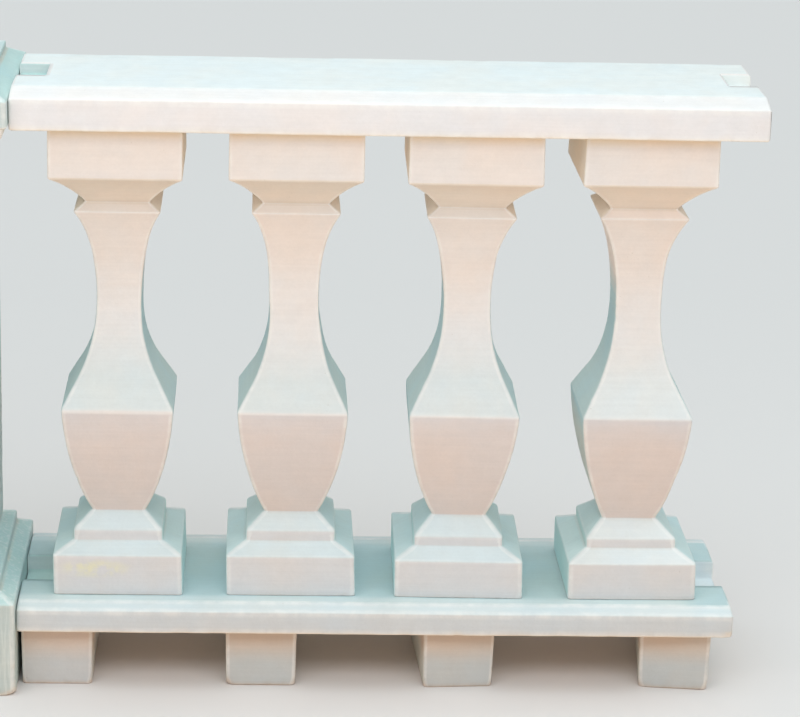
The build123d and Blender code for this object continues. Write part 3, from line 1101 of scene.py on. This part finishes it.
# The scene round the object: a pale floor, a soft sky that differs by direction, and one lamp in front
FLOOR_REACH = 30.0
FLOOR_SEEN = (0.78, 0.75, 0.74)
FLOOR_GLOW = (0.92, 0.70, 0.56)
FLOOR_ROUGHNESS = 0.9
SKY = (0.91, 1.0, 1.02)
SIDE_SKY = (1.07, 1.20, 1.24)
SIDE_FROM = (0.35, 0.65)
REAR_SKY = (0.36, 0.42, 0.43)
REAR_FROM = (0.35, 0.60)
LOW_SKY = (0.10, 0.11, 0.12)
HORIZON = (0.42, 0.58)
ZENITH = (1.95, 2.05, 2.05)
ZENITH_FROM = (0.86, 0.95)
SKY_STRENGTH = 1.0
LAMP_PLACE = (0.3, -1.25, 1.3)
LAMP_AIM = (0.3, 0.0, 0.7)
LAMP_SIZE = (3.6, 0.5)
LAMP_WATTS = 12.9


def build_floor():
    mesh = bpy.data.meshes.new("floor")
    r = FLOOR_REACH
    mesh.from_pydata([(-r, -r, 0), (r, -r, 0), (r, r, 0), (-r, r, 0)], [], [(0, 1, 2, 3)])
    floor = bpy.data.objects.new("floor", mesh)
    bpy.context.scene.collection.objects.link(floor)
    material = bpy.data.materials.new("floor")
    material.use_nodes = True
    tree = material.node_tree
    shader = tree.nodes["Principled BSDF"]
    path = add_node(tree, "ShaderNodeLightPath", {})
    seen = combined(tree, "MAXIMUM", path.outputs["Is Camera Ray"], path.outputs["Is Glossy Ray"])
    seen = combined(tree, "MAXIMUM", seen, path.outputs["Is Transmission Ray"])
    tree.links.new(mixed(tree, seen, FLOOR_GLOW, FLOOR_SEEN), shader.inputs["Base Color"])
    shader.inputs["Roughness"].default_value = FLOOR_ROUGHNESS
    shader.inputs["Specular IOR Level"].default_value = 0.0
    mesh.materials.append(material)


def build_lights():
    world = bpy.data.worlds.new("world")
    bpy.context.scene.world = world
    world.use_nodes = True
    tree = world.node_tree
    background = tree.nodes["Background"]
    way = add_node(tree, "ShaderNodeTexCoord", {}).outputs["Generated"]
    split = add_node(tree, "ShaderNodeSeparateXYZ", {0: way})
    to_side = combined(tree, "ABSOLUTE", split.outputs["X"])
    sky = mixed(tree, eased(tree, to_side, *SIDE_FROM), SKY, SIDE_SKY)
    sky = mixed(tree, eased(tree, split.outputs["Y"], *REAR_FROM), sky, REAR_SKY)
    sky = mixed(tree, eased(tree, split.outputs["Z"], *HORIZON), LOW_SKY, sky)
    sky = mixed(tree, eased(tree, split.outputs["Z"], *ZENITH_FROM), sky, ZENITH)
    tree.links.new(sky, background.inputs["Color"])
    background.inputs["Strength"].default_value = SKY_STRENGTH
    lamp = bpy.data.lights.new("strip", "AREA")
    lamp.shape = "RECTANGLE"
    lamp.size, lamp.size_y = LAMP_SIZE
    lamp.energy = LAMP_WATTS
    panel = bpy.data.objects.new("strip", lamp)
    bpy.context.scene.collection.objects.link(panel)
    panel.location = LAMP_PLACE
    panel.rotation_euler = (Vector(LAMP_AIM) - Vector(LAMP_PLACE)).to_track_quat("-Z", "Y").to_euler()
    panel.visible_camera = False


# The camera stands where the photograph was taken. That is a crop, so its centre is off the lens axis
FRAME_WIDTH_PX = 800
FRAME_HEIGHT_PX = 717
FOCAL_PX = 2667.588
AXIS_PX = (355.0, 235.0)
SENSOR_WIDTH_MM = 36.0
CAMERA_REACH = 100.0
CAMERA_PLACE = (0.490949, -3.551786, 1.666154)
CAMERA_YAW = radians(2.05766)
CAMERA_PITCH = radians(16.24613)
CAMERA_ROLL = radians(1.3926)


def build_camera():
    data = bpy.data.cameras.new("camera")
    camera = bpy.data.objects.new("camera", data)
    bpy.context.scene.collection.objects.link(camera)
    bpy.context.scene.camera = camera
    data.sensor_width = SENSOR_WIDTH_MM
    data.lens = data.sensor_width * FOCAL_PX / FRAME_WIDTH_PX
    data.shift_x = (FRAME_WIDTH_PX / 2 - AXIS_PX[0]) / FRAME_WIDTH_PX
    data.shift_y = (AXIS_PX[1] - FRAME_HEIGHT_PX / 2) / FRAME_WIDTH_PX
    data.clip_end = CAMERA_REACH
    across = cos(CAMERA_PITCH)
    ahead = Vector((sin(CAMERA_YAW) * across, cos(CAMERA_YAW) * across, -sin(CAMERA_PITCH)))
    level = Vector((cos(CAMERA_YAW), -sin(CAMERA_YAW), 0))
    upright = level.cross(ahead)
    right = cos(CAMERA_ROLL) * level + sin(CAMERA_ROLL) * upright
    up = -sin(CAMERA_ROLL) * level + cos(CAMERA_ROLL) * upright
    turn = Matrix((right, up, -ahead)).transposed().to_4x4()
    camera.matrix_world = Matrix.Translation(CAMERA_PLACE) @ turn


def build_pieces():
    materials = {name: stone(name) for name in PAINT_AND_PAINTED_LIGHT}
    for seed, node in enumerate(sorted(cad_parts), 1):
        material = materials[kind_of(node)]
        if "foot" in node:
            foot_piece(node, seed, material)
        elif "rail" in node or "coping" in node:
            rail_piece(node, seed, material)
        elif "baluster" in node:
            number = int(node[-1]) if node.startswith("right") else 0
            square_piece(node, seed, material, CAST.get(number), TURNS.get(number, 0.0))
        else:
            square_piece(node, seed, material)


def main():
    bpy.context.scene.view_settings.view_transform = "Standard"
    build_pieces()
    build_floor()
    build_lights()
    build_camera()


main()
